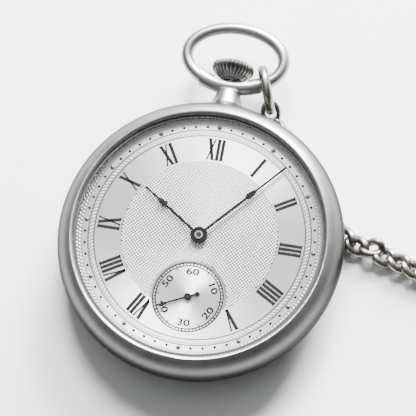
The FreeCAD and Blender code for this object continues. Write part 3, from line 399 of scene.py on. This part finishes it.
class Builder:
    """Collects points and faces of one piece made of many small shapes."""

    def __init__(self):
        self.points = []
        self.faces = []

    def slab(self, outline, low, high):
        """Closed prism over a counter-clockwise outline of (x, y) points."""
        first = len(self.points)
        count = len(outline)
        self.points += [(x, y, low) for x, y in outline] + [(x, y, high) for x, y in outline]
        self.faces.append([first + i for i in reversed(range(count))])
        self.faces.append([first + count + i for i in range(count)])
        for i in range(count):
            j = (i + 1) % count
            self.faces.append([first + i, first + j, first + count + j, first + count + i])

    def ring(self, inner, outer, low, high, centre=(0.0, 0.0), steps=180):
        """Closed flat ring."""
        first = len(self.points)
        for i in range(steps):
            angle = 2 * math.pi * i / steps
            for radius, z in ((inner, low), (outer, low), (outer, high), (inner, high)):
                self.points.append((centre[0] + radius * math.cos(angle),
                                    centre[1] + radius * math.sin(angle), z))
        for i in range(steps):
            a = first + 4 * i
            b = first + 4 * ((i + 1) % steps)
            for k in range(4):
                m = (k + 1) % 4
                self.faces.append([a + k, b + k, b + m, a + m])

    def pyramid(self, outline, low, top):
        """Closed point-topped shape over an outline, its peak over the middle."""
        first = len(self.points)
        count = len(outline)
        middle = [sum(p[k] for p in outline) / count for k in (0, 1)]
        self.points += [(x, y, low) for x, y in outline] + [(*middle, top)]
        self.faces.append([first + i for i in reversed(range(count))])
        for i in range(count):
            self.faces.append([first + i, first + (i + 1) % count, first + count])

    def piece(self, name, look, **options):
        return add_piece(name, self.points, self.faces, look, **options)


def turn_point(point, degrees):
    angle = math.radians(degrees)
    x, y = point
    return (x * math.cos(angle) - y * math.sin(angle), x * math.sin(angle) + y * math.cos(angle))


def disc_outline(radius, x, y, steps=16):
    return [(x + radius * math.cos(2 * math.pi * i / steps),
             y + radius * math.sin(2 * math.pi * i / steps)) for i in range(steps)]


# ---- dial --------------------------------------------------------------------------

INK_LOW = DIAL_TOP - 0.01 * MM
INK_HIGH = DIAL_TOP + 0.015 * MM


def make_field():
    """Engine-turned middle of the dial: rows of small raised lozenges."""
    pitch = 0.0312 * TRACK
    row = 0.0162 * TRACK
    rim = RECESS_RADIUS + 0.2 * MM
    builder = Builder()
    count = int(FIELD_RADIUS / row) + 1
    for j in range(-count, count + 1):
        for i in range(-count, count + 1):
            x = (i + 0.5 * (j % 2)) * pitch
            y = j * row
            if math.hypot(x, y) > FIELD_RADIUS or math.hypot(x, y - SECONDS_Y) < rim:
                continue
            outline = []
            for dx, dy in ((-0.43, 0), (0, -0.8), (0.43, 0), (0, 0.8)):
                corner = Vector((x + dx * pitch, y + dy * row))
                corner *= min(1.0, FIELD_RADIUS / corner.length)
                away = corner - Vector((0.0, SECONDS_Y))
                corner += away * max(0.0, rim / away.length - 1)
                outline.append(tuple(corner))
            builder.pyramid(outline, DIAL_TOP - 0.012 * MM, DIAL_TOP + 0.06 * MM)
    builder.piece("dial_field", "guilloche")


def make_ropes():
    """Twisted ring inside the minute track and the lozenge border outside it."""
    builder = Builder()
    count = 180
    for i in range(count):
        angle = 360 * i / count
        inner, outer = 0.927 * TRACK, 0.963 * TRACK
        middle = (inner + outer) / 2
        lead = 1.25
        width = 0.62
        outline = [turn_point((0, inner), angle - lead), turn_point((0, inner), angle - lead + width),
                   turn_point((0, middle), angle + width), turn_point((0, outer), angle + lead),
                   turn_point((0, outer), angle + lead - width),
                   turn_point((0, middle), angle - width)]
        builder.pyramid(outline, DIAL_TOP - 0.012 * MM, DIAL_TOP + 0.11 * MM)
    builder.piece("dial_rope", "guilloche")

    builder = Builder()
    count = 200
    for ring in range(2):
        middle = (1.0445 + 0.0245 * ring) * TRACK
        for i in range(count):
            angle = 360 * (i + 0.5 * ring) / count
            outline = [turn_point((0, middle - 0.018 * TRACK), angle + 0.3),
                       turn_point((0, middle), angle + 0.8),
                       turn_point((0, middle + 0.018 * TRACK), angle - 0.3),
                       turn_point((0, middle), angle - 0.8)]
            builder.pyramid(outline, DIAL_TOP - 0.012 * MM, DIAL_TOP + 0.075 * MM)
    builder.piece("dial_border", "border_silver")


def make_track():
    """Printed lines and dots of the minute track."""
    builder = Builder()
    line = 0.0036 * TRACK
    for radius in (0.9185, 0.9725):
        builder.ring(radius * TRACK - line, radius * TRACK + line, INK_LOW, INK_HIGH)
    for minute in range(60):
        if minute % 5:
            x, y = turn_point((0, TRACK), -6 * minute)
            builder.slab(disc_outline(0.012 * TRACK, x, y, 12), INK_LOW, INK_HIGH)
    builder.piece("minute_track", "ink")


STEM = 0.029       # widths of the numerals' strokes, in track radii
HAIR = 0.0145
ADVANCE = {"I": 0.0385, "V": 0.078, "X": 0.083}


def numeral_strokes(text):
    """Quads of a Roman numeral in track radii: x along the track, y from 0 to 1 outwards."""
    strokes = []

    def stroke(low_x, high_x, width, low=0.0, high=1.0):
        half = width / 2
        strokes.append([(low_x - half, low), (low_x + half, low), (high_x + half, high),
                        (high_x - half, high)])

    def serif(x, y, half):
        strokes.append([(x - half, y), (x + half, y), (x + half, y + 0.035),
                        (x - half, y + 0.035)])

    x = -sum(ADVANCE[letter] for letter in text) / 2
    for letter in text:
        wide = ADVANCE[letter]
        middle = x + wide / 2
        if letter == "I":
            stroke(middle, middle, STEM)
            serif(middle, 0.0, 0.0185)
            serif(middle, 0.965, 0.0185)
        elif letter == "V":
            stroke(middle + 0.004, middle - 0.024, STEM)
            stroke(middle + 0.004, middle + 0.026, HAIR)
            serif(middle - 0.024, 0.965, 0.0185)
            serif(middle + 0.026, 0.965, 0.0115)
        else:
            stroke(middle + 0.024, middle - 0.024, STEM)
            stroke(middle - 0.026, middle + 0.026, HAIR)
            for end_x, y, half in ((middle + 0.024, 0.0, 0.0185), (middle - 0.024, 0.965, 0.0185),
                                   (middle - 0.026, 0.0, 0.0115), (middle + 0.026, 0.965, 0.0115)):
                serif(end_x, y, half)
        x += wide
    return strokes


def make_numerals():
    """Roman hour numerals with their feet towards the centre; the sub-dial takes the six."""
    builder = Builder()
    foot, head = 0.699 * TRACK, 0.8965 * TRACK
    names = "I II III IIII V - VII VIII IX X XI XII".split()
    for hour, text in enumerate(names, start=1):
        if text == "-":
            continue
        for quad in numeral_strokes(text):
            outline = [turn_point((x * TRACK, foot + y * (head - foot)), -30 * hour)
                       for x, y in quad]
            builder.slab(outline, INK_LOW, INK_HIGH)
    builder.piece("hour_numerals", "ink")


def make_seconds_dial():
    """Recessed seconds sub-dial: brushed floor, light rim, printed track and numerals."""
    floor = DIAL_TOP - RECESS_DEPTH
    centre = (0.0, SECONDS_Y)
    builder = Builder()
    builder.ring(0.26 * MM, RECESS_RADIUS - 0.02 * MM, floor - 0.01 * MM, floor + 0.012 * MM, centre)
    builder.piece("seconds_floor", "seconds_silver")
    builder = Builder()
    builder.ring(RECESS_RADIUS - 0.05 * MM, RECESS_RADIUS + 0.2 * MM, floor, DIAL_TOP + 0.03 * MM,
                 centre)
    builder.piece("seconds_rim", "dial_silver")

    low, high = floor + 0.008 * MM, floor + 0.026 * MM
    builder = Builder()
    line = 0.005 * TRACK
    for radius in (0.2815, 0.305):
        builder.ring(radius * TRACK - line, radius * TRACK + line, low, high, centre)
    for second in range(60):
        inner, wide = 0.2815, 0.008
        if second % 10 == 0:
            wide = 0.013
        elif second % 5 == 0:
            inner = 0.255
        outline = [turn_point((x * TRACK, y * TRACK), -6 * second)
                   for x, y in ((-wide / 2, inner), (wide / 2, inner), (wide / 2, 0.305),
                                (-wide / 2, 0.305))]
        builder.slab([(x, y + SECONDS_Y) for x, y in outline], low, high)
    builder.piece("seconds_track", "ink")

    for second in range(10, 70, 10):
        angle = -6 * second
        x, y = turn_point((0, 0.228 * TRACK), angle)
        upright = angle if math.cos(math.radians(angle)) > -0.1 else angle + 180
        number = bpy.data.curves.new("seconds_%d" % second, "FONT")
        number.body = str(second)
        number.size = 0.096 * TRACK
        number.align_x = "CENTER"
        number.align_y = "CENTER"
        number.extrude = 0.009 * MM
        number.offset = 0.000045
        number.resolution_u = 3
        lettering = bpy.data.objects.new("seconds_%d" % second, number)
        bpy.context.scene.collection.objects.link(lettering)
        lettering.location = (x, y + SECONDS_Y, floor + 0.017 * MM)
        lettering.rotation_euler = (0, 0, math.radians(upright))
        lettering.scale = (1.22, 0.86, 1.0)
        number.materials.append(materials["ink"])
        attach(lettering, "case")


# ---- crown -------------------------------------------------------------------------

def make_crown():
    """Crown with thirty ribs that fan out from the stem over its conical underside."""
    low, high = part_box("crown")
    base = low.y
    reach = high.x
    ribs = 30
    steps = ribs * 10
    # height above the foot, radius of the rib crests, depth of the grooves (millimetres)
    profile = [(1.9, 0.62, 0.0), (1.9, 1.2, 0.0), (0.05, 1.2, 0.0), (0.0, 1.3, 0.06),
               (0.25, 1.66, 0.14), (0.6, 2.12, 0.26), (0.95, 2.58, 0.36), (1.3, 3.02, 0.44),
               (1.65, 3.31, 0.5), (1.95, 3.42, 0.5), (2.2, 3.43, 0.5), (2.45, 3.42, 0.48),
               (2.75, 3.3, 0.42), (2.95, 3.08, 0.28), (3.08, 2.75, 0.1), (3.15, 2.3, 0.0),
               (3.24, 1.5, 0.0), (3.3, 0.12, 0.0)]
    points = []
    for height, radius, groove in profile:
        for i in range(steps):
            angle = 2 * math.pi * i / steps
            crest = abs(math.sin(ribs * angle / 2)) ** 0.55
            r = min(radius * MM, reach) - groove * MM * (1 - crest)
            points.append((r * math.cos(angle), base + height * MM, GIRDLE + r * math.sin(angle)))
    faces = []
    for k in range(len(profile) - 1):
        for i in range(steps):
            j = (i + 1) % steps
            faces.append([k * steps + j, k * steps + i, (k + 1) * steps + i, (k + 1) * steps + j])
    last = (len(profile) - 1) * steps
    faces.append([last + i for i in range(steps)])
    faces.append([i for i in reversed(range(steps))])
    crown = add_piece("ribbed_crown", points, faces, "aged_steel", "winder", "aged_steel",
                      smooth=True)
    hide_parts("crown")


# ---- chain -------------------------------------------------------------------------

def chain_points():
    """Control points of the chain's centre line: the route, the coil's turns and its tail."""
    height = LINK_WIRE / 2 + 0.46 * MM
    flat = [Vector(point) for point in CHAIN_ROUTE]
    for step in range(1, COIL_STEPS + 1):
        angle = math.radians(COIL_START_ANGLE + COIL_STEP * step)
        radius = COIL_START_RADIUS - COIL_SHRINK * COIL_STEP * step / 360
        flat.append(COIL_CENTRE + radius * Vector((math.cos(angle), math.sin(angle))))
    flat += [Vector(point) for point in COIL_TAIL]
    return [Vector((p.x * MM, p.y * MM, height)) for p in flat]


def smooth_line(points):
    """Points along the NURBS line of order 3 through which the chain runs."""
    curve = bpy.data.curves.new("line", "CURVE")
    curve.dimensions = "3D"
    spline = curve.splines.new("NURBS")
    spline.points.add(len(points) - 1)
    for target, point in zip(spline.points, points):
        target.co = (*point, 1.0)
    spline.order_u = 3
    spline.use_endpoint_u = True
    curve.resolution_u = 24
    holder = bpy.data.objects.new("line", curve)
    bpy.context.scene.collection.objects.link(holder)
    bpy.context.view_layer.update()
    mesh = bpy.data.meshes.new_from_object(holder)
    line = [vertex.co.copy() for vertex in mesh.vertices]
    bpy.data.objects.remove(holder)
    bpy.data.curves.remove(curve)
    bpy.data.meshes.remove(mesh)
    return line


def along(line, distance):
    """Point and direction at a distance along a line of points."""
    for first, second in zip(line, line[1:]):
        step = (second - first).length
        if distance <= step and step > 0:
            return first.lerp(second, distance / step), (second - first).normalized()
        distance -= step
    return line[-1].copy(), (line[-1] - line[-2]).normalized()


def link_shape(half_length, half_width, wire, twist, sides=10, steps=28):
    """Closed twisted link of round wire, along X; both ends are turned about X by the twist."""
    centre = []
    for i in range(steps):
        angle = 2 * math.pi * i / steps
        c, s = math.cos(angle), math.sin(angle)
        x = half_length * math.copysign(abs(c) ** 0.8, c)
        y = half_width * math.copysign(abs(s) ** 0.8, s)
        roll = twist * x / half_length
        centre.append(Vector((x, y * math.cos(roll), y * math.sin(roll))))
    points = []
    for i, spot in enumerate(centre):
        forward = (centre[(i + 1) % steps] - centre[i - 1]).normalized()
        outward = spot.copy()
        outward = (outward - forward * outward.dot(forward)).normalized()
        side = forward.cross(outward)
        for k in range(sides):
            angle = 2 * math.pi * k / sides
            points.append(spot + wire / 2 * (outward * math.cos(angle) + side * math.sin(angle)))
    faces = []
    for i in range(steps):
        j = (i + 1) % steps
        for k in range(sides):
            m = (k + 1) % sides
            faces.append([i * sides + k, i * sides + m, j * sides + m, j * sides + k])
    return points, faces


def make_chain():
    """Curb chain: twisted links laid along the line, rolled a little more here and there."""
    line = smooth_line(chain_points())
    length = sum((b - a).length for a, b in zip(line, line[1:]))
    shape, shape_faces = link_shape(1.62 * MM, 1.1 * MM, LINK_WIRE, math.radians(46))
    count = int(length / LINK_PITCH)
    pitch = length / count
    points = []
    faces = []
    for number in range(count):
        middle, forward = along(line, (number + 0.5) * pitch)
        side = Vector((0, 0, 1)).cross(forward).normalized()
        roll = math.radians(14 * math.sin(0.83 * number) + 9 * math.sin(2.1 * number + 1))
        turned = Matrix((forward, side, forward.cross(side))).transposed()
        if number == RAISED_LINK:
            turned = turned @ Matrix.Rotation(math.radians(34), 3, "Z")
            middle = middle + side * 0.6 * MM + Vector((0, 0, 0.5 * MM))
        turned = turned @ Matrix.Rotation(roll, 3, "X")
        placed = [middle + turned @ p for p in shape]
        lift = max(0.0, 0.02 * MM - min(p.z for p in placed))
        first = len(points)
        points += [p + Vector((0, 0, lift)) for p in placed]
        faces += [[first + k for k in face] for face in shape_faces]
    chain = add_piece("chain_links", points, faces, "chain_steel", "case", "chain_steel",
                      smooth=True)
    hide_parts("chain_run", "chain_coil")
    print("chain line %.1f mm, %d links" % (length / MM, count))


# ---- studio ------------------------------------------------------------------------

SKY_LOW = 0.08
SKY_HIGH = 1.05
SKY_WINDOW = 1.8
SKY_CORNER = 0.12
SKY_LEFT = 0.25


def make_camera():
    """Long lens above and below the six, at the height and tilt that match the view."""
    data = bpy.data.cameras.new("camera")
    data.lens = 216.35
    data.sensor_width = 36.0
    data.clip_start = 0.01
    data.clip_end = 10.0
    camera = bpy.data.objects.new("camera", data)
    bpy.context.scene.collection.objects.link(camera)
    right = Vector((0.98061, 0.17896, -0.07979)).normalized()
    back = Vector((0.12761, -0.27427, 0.95315)).normalized()
    up = back.cross(right).normalized()
    right = up.cross(back)
    turn = Matrix((right, up, back)).transposed().to_4x4()
    camera.matrix_world = Matrix.Translation((0.05132, -0.10432, 0.38773)) @ turn
    bpy.context.scene.camera = camera


def lamp(name, azimuth, elevation, distance, size, power):
    """Square soft box aimed at the watch; azimuth runs from three o'clock towards twelve."""
    data = bpy.data.lights.new(name, "AREA")
    data.shape = "SQUARE"
    data.size = size
    data.energy = power
    item = bpy.data.objects.new(name, data)
    bpy.context.scene.collection.objects.link(item)
    turn, rise = math.radians(azimuth), math.radians(elevation)
    item.location = distance * Vector((math.cos(rise) * math.cos(turn),
                                       math.cos(rise) * math.sin(turn), math.sin(rise)))
    item.rotation_euler = (-item.location).to_track_quat("-Z", "Y").to_euler()
    item.visible_transmission = False         # its shadow rays already cross the crystal


def make_sky():
    """Soft room light: bright overhead, grey at the horizon, dark at nine and four o'clock."""
    world = bpy.data.worlds.new("studio")
    bpy.context.scene.world = world
    world.use_nodes = True
    tree = world.node_tree
    backdrop = tree.nodes["Background"]

    def calculate(operation, first, second=0.0, third=0.0):
        node = tree.nodes.new("ShaderNodeMath")
        node.operation = operation
        for socket, value in zip(node.inputs, (first, second, third)):
            if isinstance(value, bpy.types.NodeSocket):
                tree.links.new(value, socket)
            else:
                socket.default_value = value
        return node.outputs[0]

    def ramp(value, low, high, to_low, to_high):
        node = tree.nodes.new("ShaderNodeMapRange")
        node.interpolation_type = "SMOOTHSTEP"
        tree.links.new(value, node.inputs["Value"])
        for key, number in (("From Min", low), ("From Max", high), ("To Min", to_low),
                            ("To Max", to_high)):
            node.inputs[key].default_value = number
        return node.outputs["Result"]

    direction = tree.nodes.new("ShaderNodeTexCoord").outputs["Generated"]
    parts = tree.nodes.new("ShaderNodeSeparateXYZ")
    tree.links.new(direction, parts.inputs[0])
    x, y, z = parts.outputs
    window = calculate("ADD", calculate("MULTIPLY", x, 0.6), calculate("MULTIPLY", y, 0.75))
    corner = calculate("SUBTRACT", calculate("MULTIPLY", x, 0.87), calculate("MULTIPLY", y, 0.5))
    level = calculate("ADD", ramp(z, 0.1, 0.95, SKY_LOW, SKY_HIGH),
                      ramp(window, 0.55, 0.95, 0.0, SKY_WINDOW))
    level = calculate("MULTIPLY", level, ramp(corner, -0.05, 0.35, 1.0, SKY_CORNER))
    left = calculate("ADD", calculate("MULTIPLY", x, -0.9), calculate("MULTIPLY", y, -0.2))
    level = calculate("MULTIPLY", level, ramp(left, 0.15, 0.6, 1.0, SKY_LEFT))
    backdrop.inputs["Color"].default_value = (0.97, 0.985, 1.0, 1.0)
    tree.links.new(level, backdrop.inputs["Strength"])


def make_studio():
    n = Nodes("studio_floor")
    paper = n.noise(n.place(), 60, 4.0)
    n.link(n.blend(n.spread(paper, 0.3, 0.7, 0.0, 1.0), grey(0.86), grey(0.89)),
           n.shader.inputs["Base Color"])
    n.shader.inputs["Roughness"].default_value = 0.8
    mesh = bpy.data.meshes.new("floor")
    half = 3.0
    mesh.from_pydata([(-half, -half, -0.0001), (half, -half, -0.0001), (half, half, -0.0001),
                      (-half, half, -0.0001)], [], [[0, 1, 2, 3]])
    floor = bpy.data.objects.new("floor", mesh)
    bpy.context.scene.collection.objects.link(floor)
    mesh.materials.append(n.material)

    make_sky()
    lamp("key", 100, 46, 0.9, 0.3, 23.0)
    lamp("window", 78, 25, 0.9, 0.4, 66.0)


# ---- making ------------------------------------------------------------------------

materials = make_materials()
make_camera()
make_chain()
make_studio()
make_field()
make_ropes()
make_track()
make_numerals()
make_seconds_dial()
make_crown()
